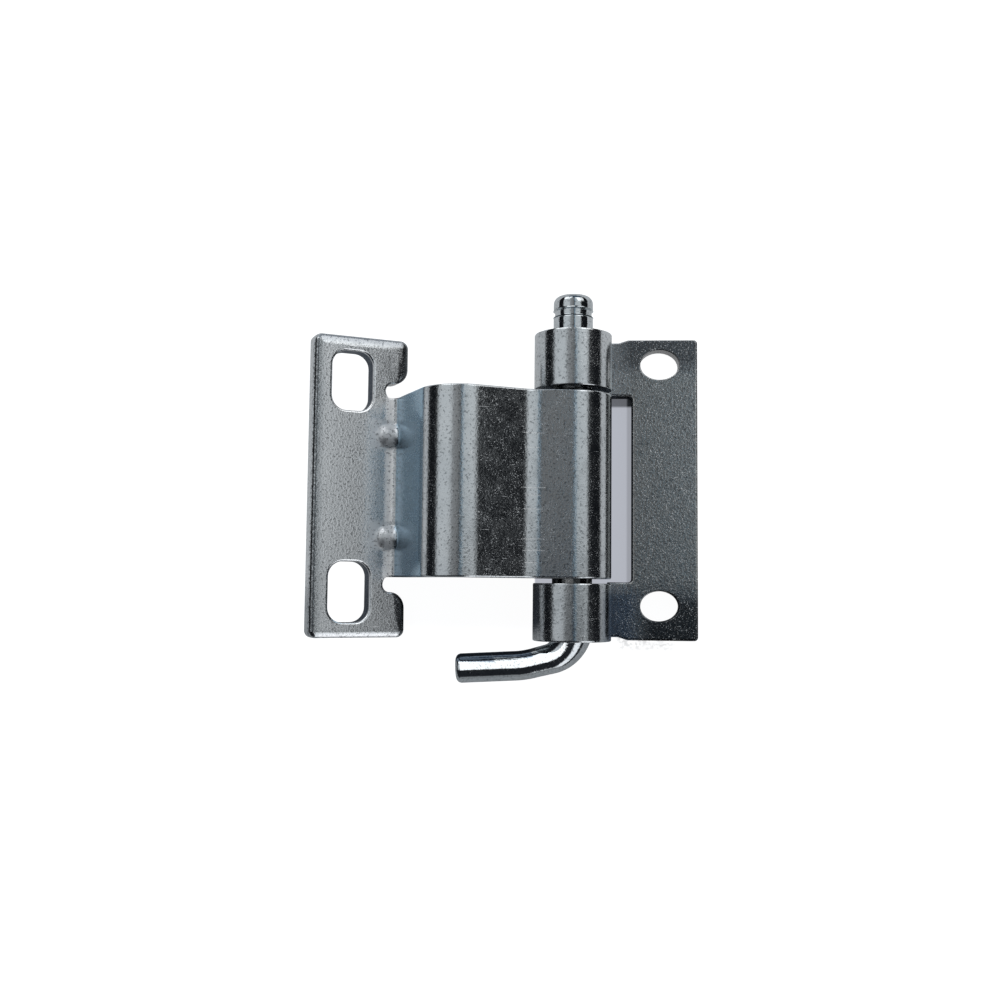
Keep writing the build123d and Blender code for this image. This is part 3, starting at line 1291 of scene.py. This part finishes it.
@dataclass
class HingePin:
    """Turned rod with a crowned, grooved top, bent over below as a handle."""

    axis: Axis
    finish: Zinc
    pin_d: float = 6.5
    pin_top: float = 31.5
    pin_crown: float = 1.3
    groove_top: float = 2.5
    groove_w: float = 1.1
    groove_d: float = 6.05
    lip: float = 0.3
    bend_start: float = -24.3
    bend_inner: float = 1.4
    first_angle: float = 74.0
    bend_angle: float = 86.8
    between: float = 2.4
    wide_inner: float = 12.0
    thin_by: float = 100.0
    leg_d: float = 4.75
    leg_end: float = -18.7
    leg_round: float = 0.9
    around: int = 72
    crown_steps: int = 10
    lip_steps: int = 4
    straight_steps: int = 12
    bend_steps: int = 44
    leg_steps: int = 6
    tip_steps: int = 8
    crease: float = 50.0

    def arc(self, x: float, radius: float, size: float, start: float, steps: int) -> list[tuple]:
        """Quarter round of a turned profile.

        Args:
            x: its centre along the rod.
            radius: its centre's distance from the rod's middle.
            size: its own radius.
            start: angle that it starts at, in degrees, from the rod's top.
            steps: count of pieces.

        Returns:
            Pairs of reach and radius.
        """
        points = []
        for count in range(steps + 1):
            angle = (start + 90 * count / steps) * DEGREE
            points.append((x - size * math.cos(angle), radius + size * math.sin(angle)))
        return points

    def top_profile(self) -> list[tuple[float, float]]:
        """Profile from the crowned end over the groove.

        Returns:
            Pairs of reach and radius.
        """
        full, core, lip, crown = self.pin_d / 2, self.groove_d / 2, self.lip, self.pin_crown
        groove_end = self.groove_top + self.groove_w
        points = self.arc(crown, full - crown, crown, 0, self.crown_steps)
        points += self.arc(self.groove_top - lip, full - lip, lip, 90, self.lip_steps)
        points += [(self.groove_top, core + lip), (self.groove_top + lip / 2, core)]
        points += [(groove_end - lip / 2, core), (groove_end, core + lip)]
        points += self.arc(groove_end + lip, full - lip, lip, 0, self.lip_steps)
        return points

    def across(self, angle: float) -> float:
        """Thickness of the rod in its bend at an angle in degrees."""
        left = max(0.0, 1 - angle / self.thin_by)
        return self.leg_d + (self.pin_d - self.leg_d) * left**2

    def bends(self) -> list[Bend]:
        """The tight bend below the knuckle and the wide one that levels the handle.

        Returns:
            Both bends, measured along the rod's inner side.
        """
        side = self.pin_d / 2
        straight = self.pin_top - self.bend_start
        tight = Bend(
            "tight", straight, self.bend_inner, self.first_angle * DEGREE, Way.BACK, line=side
        )
        rest = (self.bend_angle - self.first_angle) * DEGREE
        wide = Bend("wide", tight.end + self.between, self.wide_inner, rest, Way.BACK, line=side)
        return [tight, wide]

    def leg_length(self) -> float:
        """Length of the handle's straight part, so that its end lies where it should.

        Returns:
            The length.
        """
        tight, wide = self.bends()
        last = tight.angle + wide.angle
        at = -self.pin_d / 2 - tight.radius * (1 - math.cos(tight.angle))
        at -= self.between * math.sin(tight.angle)
        at -= wide.radius * (math.cos(tight.angle) - math.cos(last))
        return (at + self.leg_d / 2 * math.cos(last) - self.leg_end) / math.sin(last)

    def rings(self) -> list[tuple[float, float, float]]:
        """All sections of the straight rod: reach, radius and how far it lies off the middle.

        Returns:
            The sections from the top to the handle's tip.
        """
        full, thin = self.pin_d / 2, self.leg_d / 2
        tight, wide = self.bends()
        made = [(x, radius, 0.0) for x, radius in self.top_profile()]
        last = made[-1][0]
        made += [(x, full, 0.0) for x in spread(last, tight.start, self.straight_steps)[1:-1]]
        for share in spread(0.0, 1.0, self.bend_steps):
            radius = self.across(share * self.first_angle) / 2
            made.append((tight.start + share * tight.length, radius, full - radius))
        tip = wide.end + self.leg_length()
        places = spread(wide.start, wide.end, self.straight_steps)
        places += spread(wide.end, tip - self.leg_round, self.leg_steps)[1:-1]
        made += [(x, thin, full - thin) for x in places]
        middle = thin - self.leg_round
        for x, radius in self.arc(tip - self.leg_round, middle, self.leg_round, 90, self.tip_steps):
            made.append((x, radius, full - thin))
        return made

    def rod(self) -> bpy.types.Object:
        """Builds the straight rod, lying along x.

        Returns:
            The rod with the attribute that the bend reads.
        """
        bm = bmesh.new()
        circles = []
        for x, radius, off in self.rings():
            circle = []
            for index in range(self.around):
                turn = 2 * math.pi * index / self.around
                circle.append(bm.verts.new((x, off + radius * math.cos(turn), radius * math.sin(turn))))
            circles.append(circle)
        for here, there in zip(circles, circles[1:]):
            for index in range(self.around):
                after = (index + 1) % self.around
                bm.faces.new((here[index], here[after], there[after], there[index]))
        for circle in (circles[0], circles[-1]):
            self.cap(bm, circle)
        bmesh.ops.recalc_face_normals(bm, faces=bm.faces)
        mesh = bpy.data.meshes.new("pin_rod")
        bm.to_mesh(mesh)
        bm.free()
        reach = mesh.attributes.new("reach", "FLOAT", "POINT")
        for vertex in mesh.vertices:
            reach.data[vertex.index].value = vertex.co.x
        return add("pin_rod", mesh)

    @staticmethod
    def cap(bm: bmesh.types.BMesh, circle: Sequence[bmesh.types.BMVert]) -> None:
        """Closes an end with rings that shrink to a middle point.

        Args:
            bm: the mesh that is built.
            circle: points of the end.
        """
        middle = sum((v.co for v in circle), Vector()) / len(circle)
        outer = list(circle)
        for share in (0.6, 0.25):
            inner = [bm.verts.new(middle + (v.co - middle) * share) for v in circle]
            for index in range(len(circle)):
                after = (index + 1) % len(circle)
                bm.faces.new((outer[index], outer[after], inner[after], inner[index]))
            outer = inner
        point = bm.verts.new(middle)
        for index in range(len(circle)):
            bm.faces.new((outer[index], outer[(index + 1) % len(circle)], point))

    def build(self, folder: Folder) -> bpy.types.Object:
        """Makes the pin.

        Args:
            folder: writes the folding tree.

        Returns:
            The finished pin, riding on its body.
        """
        axis = self.axis
        down = Vector((0, 0, -1))
        lie = axis.rest_angle * DEGREE
        left = Vector((-math.cos(lie), math.sin(lie), 0))
        back = down.cross(left)
        turn = Matrix((down, left, back)).transposed().to_4x4()
        place = Matrix.Translation(Vector((axis.x, axis.y, self.pin_top)) * MM) @ turn
        tree = folder.tree("bend_pin", self.bends(), [], place, self.finish.material())
        pin = fold(self.rod(), "hinge_pin_rod", tree, self.crease)
        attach(pin, "pin")
        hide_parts("hinge_pin")
        return pin


# Studio

Panels = list[tuple[float, tuple[float, float, float]]]
WHITE = (1.0, 1.0, 1.0)
DARK = (0.008, 0.009, 0.011)
HAZE = (0.87, 0.90, 1.0)
OPEN_FLOOR = (0.42, 0.44, 0.46)
# Painted shadow colour of the floor under the hinge.
FLOOR_PAINTED_SHADOW = (0.06, 0.075, 0.10)
CEILING = (0.06, 0.09, 0.13)
LOW_SHADE = (0.018, 0.02, 0.024)
LOW_BOX = (1.15, 1.17, 1.2)
NADIR = (0.27, 0.28, 0.29)


@dataclass(frozen=True)
class Zone:
    """A rectangle with soft sides: millimetres on the floor, degrees in the surroundings."""

    low: tuple[float, float]
    high: tuple[float, float]
    soft: float

    def mask(self, board: Board, right: Wire, up: Wire) -> Wire:
        """Mask of the rectangle, 1 inside and 0 outside."""
        return board.within((right, up), self.low, self.high, self.soft)


# Zones of the floor where shade is painted: the floor seen through the window and the knuckle gaps, the
# shadow along the window's upper edge, the shadow under the hinge and the shadow below the flat leaf's lower
# edge. The last zone is a bright box of the surroundings, in degrees.
SEEN_IN_GAPS = Zone((-6.2, -15.8), (10.6, 16.6), 0.15)
UPPER_GAP = Zone((-7.5, 14.2), (10.6, 16.6), 0.25)
UNDER_HINGE = Zone((-34.0, -24.0), (21.0, 16.5), 1.5)
EDGE_SHADOW = Zone((7.5, -26.6), (17.0, -24.0), 1.0)
RIGHT_LOW_BOX = Zone((27.0, -72.0), (68.0, -11.0), 4.0)


@dataclass
class Studio:
    """Pale floor, soft panels all round and the camera, in the photograph's viewing frame.

    Angles of the panels are counted in degrees from the viewer to the right. Lamps and cards are
    sized in metres, and the cards' places are counted from the pin's axis in millimetres.
    """

    axis: Axis
    yaw: float = -0.0597
    pitch: float = -0.076
    roll: float = -0.0101
    aside: float = 11.8306
    up: float = 2.1724
    distance: float = 181.0251
    focal: float = 1108.4565
    frame_px: float = 1000.0
    sensor: float = 36.0
    floor_behind: float = 6.7
    floor_half: float = 1.5
    lamp_size: float = 0.55
    lamp_distance: float = 0.9
    front_card: tuple[float, float, float] = (-13.0, -10.5, 40.0)
    upper_card: tuple[float, float, float] = (0.0, 300.0, 40.0)

    def view_axes(self) -> Matrix:
        """Right, up and towards the viewer, in the part's frame.

        Returns:
            The three directions as columns.
        """
        lie = self.axis.rest_angle * DEGREE
        right = Vector((math.cos(lie), -math.sin(lie), 0))
        front = Vector((-math.sin(lie), -math.cos(lie), 0))
        return Matrix((right, Vector((0, 0, 1)), front)).transposed()

    def camera(self) -> bpy.types.Object:
        """Places the camera.

        Returns:
            The camera.
        """
        tilt = Matrix.Rotation(self.roll, 3, "Z") @ Matrix.Rotation(self.pitch, 3, "X")
        tilt = tilt @ Matrix.Rotation(self.yaw, 3, "Y")
        axes = self.view_axes()
        spot = tilt.transposed() @ Vector((-self.aside, -self.up, self.distance))
        lens = bpy.data.cameras.new("camera")
        lens.sensor_width = self.sensor
        lens.lens = self.focal * self.sensor / self.frame_px
        lens.clip_start = 0.01
        made = add("camera", lens)
        turn = (axes @ tilt.transposed()).to_4x4()
        place = (Vector((self.axis.x, self.axis.y, 0)) + axes @ spot) * MM
        made.matrix_world = Matrix.Translation(place) @ turn
        bpy.context.scene.camera = made
        return made

    def place(self, right: float, up: float, front: float) -> Matrix:
        """A place in the viewing frame.

        Args:
            right: millimetres to the right of the pin's axis.
            up: millimetres up.
            front: millimetres towards the viewer.

        Returns:
            The place in metres, turned like the viewing frame.
        """
        axes = self.view_axes()
        spot = Vector((self.axis.x, self.axis.y, 0)) + axes @ Vector((right, up, front))
        return Matrix.Translation(spot * MM) @ axes.to_4x4()

    def floor(self) -> bpy.types.Object:
        """Lays the pale floor that the hinge lies on, under the flat leaf.

        Returns:
            The floor.
        """
        half = self.floor_half
        mesh = bpy.data.meshes.new("floor")
        spots = [(-half, -half, 0), (half, -half, 0), (half, half, 0), (-half, half, 0)]
        mesh.from_pydata(spots, [], [(0, 1, 2, 3)])
        made = add("floor", mesh)
        made.matrix_world = self.place(0.0, 0.0, -self.floor_behind)
        mesh.materials.append(self.floor_material())
        return made

    def floor_material(self) -> bpy.types.Material:
        """Matt floor that is a white page to the camera, with painted shade and shadows under the hinge, in
        the window and in the knuckle gaps.

        Returns:
            The material, which is clear from below.
        """
        made = bpy.data.materials.new("pale_floor")
        board = Board.of(made)
        rays = ("Is Camera Ray", "Is Glossy Ray", "Is Transmission Ray")
        camera, glossy, through = (board.node("ShaderNodeLightPath", {}, {}, out=ray) for ray in rays)
        spot = Zinc.millimetres(board)
        right, up = board.split(spot)[:2]
        gaps = SEEN_IN_GAPS.mask(board, right, up)
        shade = UPPER_GAP.mask(board, right, up)
        hidden = UNDER_HINGE.mask(board, right, up)
        far = board.step(up, -14.0, -20.0)
        strip = board.step(right, 9.0, 9.4) * gaps
        edge_shadow = EDGE_SHADOW.mask(board, right, up)
        edge_shadow = edge_shadow * board.step(Zinc.noise(board, spot, 1.6, 3.0), 0.42, 0.62)
        # Painted shade: the page glows less in the window and the knuckle gaps, at the window's right and
        # upper edges, and in the shadow below the flat leaf.
        page = 0.97 - gaps * 0.47 - strip * 0.13 - shade * 0.36 - edge_shadow * 0.3
        # Painted shade in reflections: less glow under the hinge and further down.
        mirrored = (1 - hidden * 0.93) * (1 - far * 0.6) * 0.36
        seen = board.maths("MAXIMUM", camera, board.maths("MAXIMUM", glossy, through) * mirrored)
        # Painted shadow: the floor is darker under the hinge.
        ground = board.blend(hidden, OPEN_FLOOR, FLOOR_PAINTED_SHADOW)
        shader = board.node("ShaderNodeBsdfPrincipled", {}, {"Base Color": ground, "Roughness": 0.85})
        colour = board.blend(gaps, WHITE, HAZE)
        light = board.node("ShaderNodeEmission", {}, {"Color": colour, "Strength": page * seen})
        both = board.node("ShaderNodeAddShader", {}, {0: shader, 1: light})
        behind = board.node("ShaderNodeNewGeometry", {}, {}, out="Backfacing")
        clear = board.node("ShaderNodeBsdfTransparent", {}, {})
        both = board.node("ShaderNodeMixShader", {}, {0: behind, 1: both, 2: clear})
        board.close("ShaderNodeOutputMaterial", "Surface", both)
        return made

    def world(self) -> None:
        """Surrounds the part with soft panels; the camera sees a white background."""
        made = bpy.data.worlds.new("studio")
        bpy.context.scene.world = made
        board = Board.of(made)
        dx, dy, dz = board.split(board.node("ShaderNodeTexCoord", {}, {}, out="Generated"))
        axes = self.view_axes()
        right = dx * axes[0][0] + dy * axes[1][0]
        front = dx * axes[0][2] + dy * axes[1][2]
        around = board.maths("ARCTAN2", right, front) * (1 / (2 * math.pi)) + 0.5
        level = board.maths("ARCSINE", dz) * (1 / DEGREE)
        upper = self.ring(board, around, self.upper_panels())
        lower = self.ring(board, around, self.lower_panels())
        colour = board.blend(board.step(level, -3.0, 4.0), lower, upper)
        colour = board.blend(board.step(level, 50.0, 62.0), colour, CEILING)
        colour = board.blend(board.step(level, -8.0, -15.0), colour, LOW_SHADE)
        colour = board.blend(RIGHT_LOW_BOX.mask(board, around * 360 - 180, level), colour, LOW_BOX)
        colour = board.blend(board.step(level, -66.0, -76.0), colour, NADIR)
        camera = board.node("ShaderNodeLightPath", {}, {}, out="Is Camera Ray")
        colour = board.blend(camera, colour, WHITE)
        glow = board.node("ShaderNodeBackground", {}, {"Color": colour, "Strength": 1.0})
        board.close("ShaderNodeOutputWorld", "Surface", glow)

    @staticmethod
    def ring(board: Board, around: Wire, panels: Panels) -> Wire:
        """Brightness all round at one level.

        Args:
            board: the world's board.
            around: the direction as a share of the full turn.
            panels: angle and colour of each stop.

        Returns:
            The colour in that direction.
        """
        stops = [(angle / 360 + 0.5, colour) for angle, colour in panels]
        return board.node("ShaderNodeValToRGB", {"stops": stops}, {0: around})

    @staticmethod
    def upper_panels() -> Panels:
        """Soft boxes and gaps above eye level.

        Returns:
            Angle and colour of each stop.
        """
        bright = (0.63, 0.66, 0.68)
        return [
            (-180, DARK),
            (-61, DARK),
            (-55, bright),
            (-22, bright),
            (-16, (0.31, 0.32, 0.33)),
            (-3, (0.25, 0.255, 0.26)),
            (2, (0.15, 0.15, 0.15)),
            (6.6, (0.11, 0.115, 0.12)),
            (7.5, (0.20, 0.33, 0.44)),
            (9, (0.22, 0.35, 0.46)),
            (11.5, (0.56, 0.60, 0.62)),
            (40, bright),
            (43.5, (0.47, 0.49, 0.50)),
            (48.4, DARK),
            (180, DARK),
        ]

    @staticmethod
    def lower_panels() -> Panels:
        """Soft boxes and gaps below eye level, where less light comes from the right.

        Returns:
            Angle and colour of each stop.
        """
        dim = (0.48, 0.50, 0.52)
        blue = (0.12, 0.20, 0.26)
        return [
            (-180, DARK),
            (-61, DARK),
            (-55, dim),
            (-30, dim),
            (-20, (0.16, 0.165, 0.17)),
            (0, (0.13, 0.135, 0.14)),
            (2.5, (0.03, 0.04, 0.065)),
            (6.8, (0.008, 0.009, 0.012)),
            (7.5, blue),
            (9, blue),
            (14, (0.17, 0.175, 0.18)),
            (36, (0.20, 0.21, 0.215)),
            (42, (0.44, 0.46, 0.47)),
            (43.5, (0.45, 0.47, 0.48)),
            (48.4, DARK),
            (180, DARK),
        ]

    def lamp(self, name: str, place: Matrix, width: float, height: float, glow: float) -> bpy.types.Object:
        """Adds a soft lamp.

        Args:
            name: its name.
            place: where it stands, shining against its own Z.
            width: width in metres.
            height: height in metres.
            glow: its brightness, where 1 is white.

        Returns:
            The lamp.
        """
        lamp = bpy.data.lights.new(name, "AREA")
        lamp.shape = "RECTANGLE"
        lamp.size = width
        lamp.size_y = height
        lamp.energy = glow * math.pi * width * height
        made = add(name, lamp)
        made.matrix_world = place
        made.visible_camera = False
        return made

    def lamps(self) -> None:
        """Two soft lamps at a plain level, up on the left and on the right."""
        axes = self.view_axes()
        for name, side, level, glow in (("key", -38.0, 52.0, 1.2), ("fill", 44.0, 36.0, 1.1)):
            flat = math.cos(level * DEGREE)
            right = math.sin(side * DEGREE) * flat
            front = math.cos(side * DEGREE) * flat
            spot = axes @ Vector((right, math.sin(level * DEGREE), front)) * self.lamp_distance
            turn = spot.to_track_quat("Z", "Y").to_matrix().to_4x4()
            self.lamp(name, Matrix.Translation(spot) @ turn, self.lamp_size, self.lamp_size, glow)

    def cards(self, leaves: Sequence[bpy.types.Object], pin: bpy.types.Object) -> None:
        """Sets a card over the leaves' upper edges and one before the handle.

        Args:
            leaves: the pieces that only the upper card lights.
            pin: the piece that only the front card lights.
        """
        front = self.lamp("front_card", self.place(*self.front_card), 0.036, 0.056, glow=1.5)
        over = self.place(*self.upper_card) @ Matrix.Rotation(-90 * DEGREE, 4, "X")
        upper = self.lamp("upper_card", over, 0.40, 0.30, glow=0.3)
        for card, pieces in ((front, [pin]), (upper, leaves)):
            only = bpy.data.collections.new(f"{card.name}_lights")
            for piece in pieces:
                only.objects.link(piece)
            card.light_linking.receiver_collection = only

    def build(self) -> None:
        """Sets up the whole studio."""
        bpy.context.scene.view_settings.view_transform = "Standard"
        self.camera()
        self.floor()
        self.world()
        self.lamps()


def scratch_mark(left: float, right: float, z: float) -> Patch:
    """Thin bright scratch along the arm at one height."""
    return Patch((left, -27.0, z), (right, -20.0, z + 0.09), WHITE, 0.85, 0.05, 0.02, 0.3)


# Painted bluish shade on the wall, which faces sideways.
WALL_PAINTED_BLUE_SHADE = Patch((7.0, -16.4, -15.5), (9.0, -4.2, 15.5), (0.29, 0.48, 0.63), 0.8, 0.25, 0.2)
# Painted dark shade at the lower end of the wall.
WALL_END_PAINTED_SHADE = Patch((7.0, -15.0, -16.5), (8.0, -4.2, -9.0), (0.08, 0.12, 0.19), 0.75, 3.0, 1.2)
# Painted light: the front of the flange is made brighter to stand in for its reflections.
FLANGE_PAINTED_LIGHT = Patch((-5.0, -3.6, -24.0), (8.2, -2.2, 23.2), (0.92, 0.935, 0.95), 0.85, 0.6, 0.3)
DULL_FLANGE = Patch((3.4, -3.8, -15.5), (6.4, -2.2, 15.5), (0.68, 0.67, 0.655), 0.8, 1.5, 0.4, 0.2)
# Painted shade on the flange's upper rolled edge.
UPPER_EDGE_PAINTED_SHADE = Patch((-5.6, -3.4, 23.9), (9.0, -0.5, 25.5), (0.40, 0.43, 0.47), 0.7, 0.5, 0.3, 0.12)
# Painted white highlight along the inside of the foot bend.
FOOT_PAINTED_HIGHLIGHT = Patch((5.7, -5.0, -15.5), (7.0, -2.5, 15.5), (1.0, 1.0, 1.0), 1.0, 0.12, 0.6, 0.36)
UPPER_DART = Patch((3.2, -7.0, 6.4), (7.1, -2.6, 11.2), (0.72, 0.74, 0.76), 0.8, 0.4, 0.3, 0.28)
LOWER_DART = Patch((3.2, -7.0, -10.6), (7.1, -2.6, -5.8), (0.72, 0.74, 0.76), 0.8, 0.4, 0.3, 0.28)
# Painted dark reflection along the flange's rolled outer side edge.
SIDE_EDGE_PAINTED_SHADE = Patch((-6.35, -3.6, -24.8), (-5.75, -1.6, 24.0), (0.07, 0.075, 0.08), 0.8, 0.18, 0.9, 0.1)
# Painted dark reflection on the tabs' right edges.
UPPER_TAB_PAINTED_SHADE = Patch((8.7, -3.6, 17.2), (10.5, -0.6, 24.3), (0.05, 0.055, 0.06), 0.85, 0.5, 0.4, 0.1)
LOWER_TAB_PAINTED_SHADE = Patch((8.7, -3.6, -24.3), (10.5, -0.6, -17.2), (0.04, 0.045, 0.05), 0.9, 0.5, 0.4, 0.1)
# Painted highlight along the flange's lower edge.
LOWER_EDGE_PAINTED_HIGHLIGHT = Patch((-4.9, -3.4, -26.0), (8.4, -1.8, -24.4), (0.97, 0.98, 1.0), 0.9, 0.1, 0.2, 0.15)
# Painted shade on the walls inside the slots.
SLOT_WALL_PAINTED_SHADE = Patch((-4.2, -2.65, -23.2), (4.2, -0.1, 23.2), (0.03, 0.05, 0.08), 1.0, 0.08, 0.0, 0.3)
# Painted shade over the right part of the flat leaf's plate, darker at its lower and upper ends and bluish
# near the lower knuckle.
PLATE_LOWER_END_SHADE = Patch((43.0, -29.0, -30.0), (60.0, -18.0, -17.0), (0.03, 0.032, 0.036), 0.93, 3.0, 0.6)
PLATE_BLUE_SHADE = Patch((35.5, -29.0, -30.0), (43.0, -18.0, -17.0), (0.12, 0.175, 0.26), 0.85, 1.5, 0.6)
PLATE_UPPER_END_SHADE = Patch((41.0, -29.0, 19.8), (60.0, -18.0, 30.0), (0.10, 0.10, 0.105), 0.85, 2.0, 0.6)
PLATE_SHADE = Patch((41.5, -29.0, -17.0), (60.0, -18.0, 20.0), (0.37, 0.36, 0.335), 0.65, 2.0, 0.6)
MARKS = (
    scratch_mark(22.0, 25.4, 7.9),
    scratch_mark(22.4, 24.8, 5.6),
    scratch_mark(21.8, 25.7, -0.8),
    scratch_mark(22.6, 25.0, -2.0),
    scratch_mark(22.2, 25.2, -4.2),
    scratch_mark(21.9, 25.5, -8.9),
    scratch_mark(22.1, 25.6, -10.7),
    scratch_mark(22.5, 24.6, -12.6),
)
# Painted dark blue reflection along the top of the handle.
LEG_TIP_PAINTED_REFLECTION = Patch((12.0, -34.0, -28.45), (20.5, -4.0, -26.0), (0.09, 0.14, 0.21), 0.85, 0.2, 0.15)
LEG_TOP_PAINTED_REFLECTION = Patch((20.5, -34.0, -27.7), (26.0, -4.0, -25.3), (0.09, 0.14, 0.21), 0.85, 0.25, 0.15)
# Painted black shade on the pin in the gaps between the knuckles.
UPPER_SEAM_PAINTED_SHADE = Patch((28.0, -24.0, 14.95), (37.0, -15.0, 15.8), (0.02, 0.02, 0.02), 0.95, 0.05)
LOWER_SEAM_PAINTED_SHADE = Patch((28.0, -24.0, -15.8), (37.0, -15.0, -14.95), (0.02, 0.02, 0.02), 0.95, 0.05)

SHEET_ZINC = Zinc(
    name="zinc_plated_sheet",
    tone=(0.67, 0.695, 0.71),
    shade=(0.61, 0.64, 0.66),
    sheen=0.12,
    dull=0.06,
    grain=2.7,
    grain_relief=15.0,
    wave_relief=6.0,
    pits=1.0,
    dots=1.0,
    scratches=0.8,
    patches=(
        FLANGE_PAINTED_LIGHT,
        DULL_FLANGE,
        UPPER_EDGE_PAINTED_SHADE,
        WALL_PAINTED_BLUE_SHADE,
        WALL_END_PAINTED_SHADE,
        FOOT_PAINTED_HIGHLIGHT,
        UPPER_DART,
        LOWER_DART,
        SIDE_EDGE_PAINTED_SHADE,
        UPPER_TAB_PAINTED_SHADE,
        LOWER_TAB_PAINTED_SHADE,
        LOWER_EDGE_PAINTED_HIGHLIGHT,
        SLOT_WALL_PAINTED_SHADE,
        PLATE_SHADE,
        PLATE_LOWER_END_SHADE,
        PLATE_BLUE_SHADE,
        PLATE_UPPER_END_SHADE,
        *MARKS,
    ),
)
ROD_ZINC = Zinc(
    name="zinc_plated_rod",
    tone=(0.66, 0.69, 0.71),
    shade=(0.60, 0.64, 0.66),
    sheen=0.06,
    dull=0.04,
    grain=3.2,
    grain_relief=9.0,
    wave_relief=3.0,
    pits=0.8,
    dots=0.6,
    scratches=0.4,
    patches=(LEG_TIP_PAINTED_REFLECTION, LEG_TOP_PAINTED_REFLECTION, UPPER_SEAM_PAINTED_SHADE, LOWER_SEAM_PAINTED_SHADE),
)


def main() -> None:
    """Builds the hinge in order and reports each piece."""
    logging.basicConfig(level=logging.INFO, format="%(message)s")
    axis = Axis()
    studio = Studio(axis)
    studio.build()
    folder = Folder()
    pieces = []
    for maker in (CrankedLeaf(axis, SHEET_ZINC), FlatLeaf(axis, SHEET_ZINC), HingePin(axis, ROD_ZINC)):
        piece = maker.build(folder)
        count = sum(len(face.vertices) - 2 for face in piece.data.polygons)
        log.info("%s: %d triangles", piece.name, count)
        pieces.append(piece)
    studio.cards(pieces[:-1], pieces[-1])


if __name__ == "__main__":
    main()
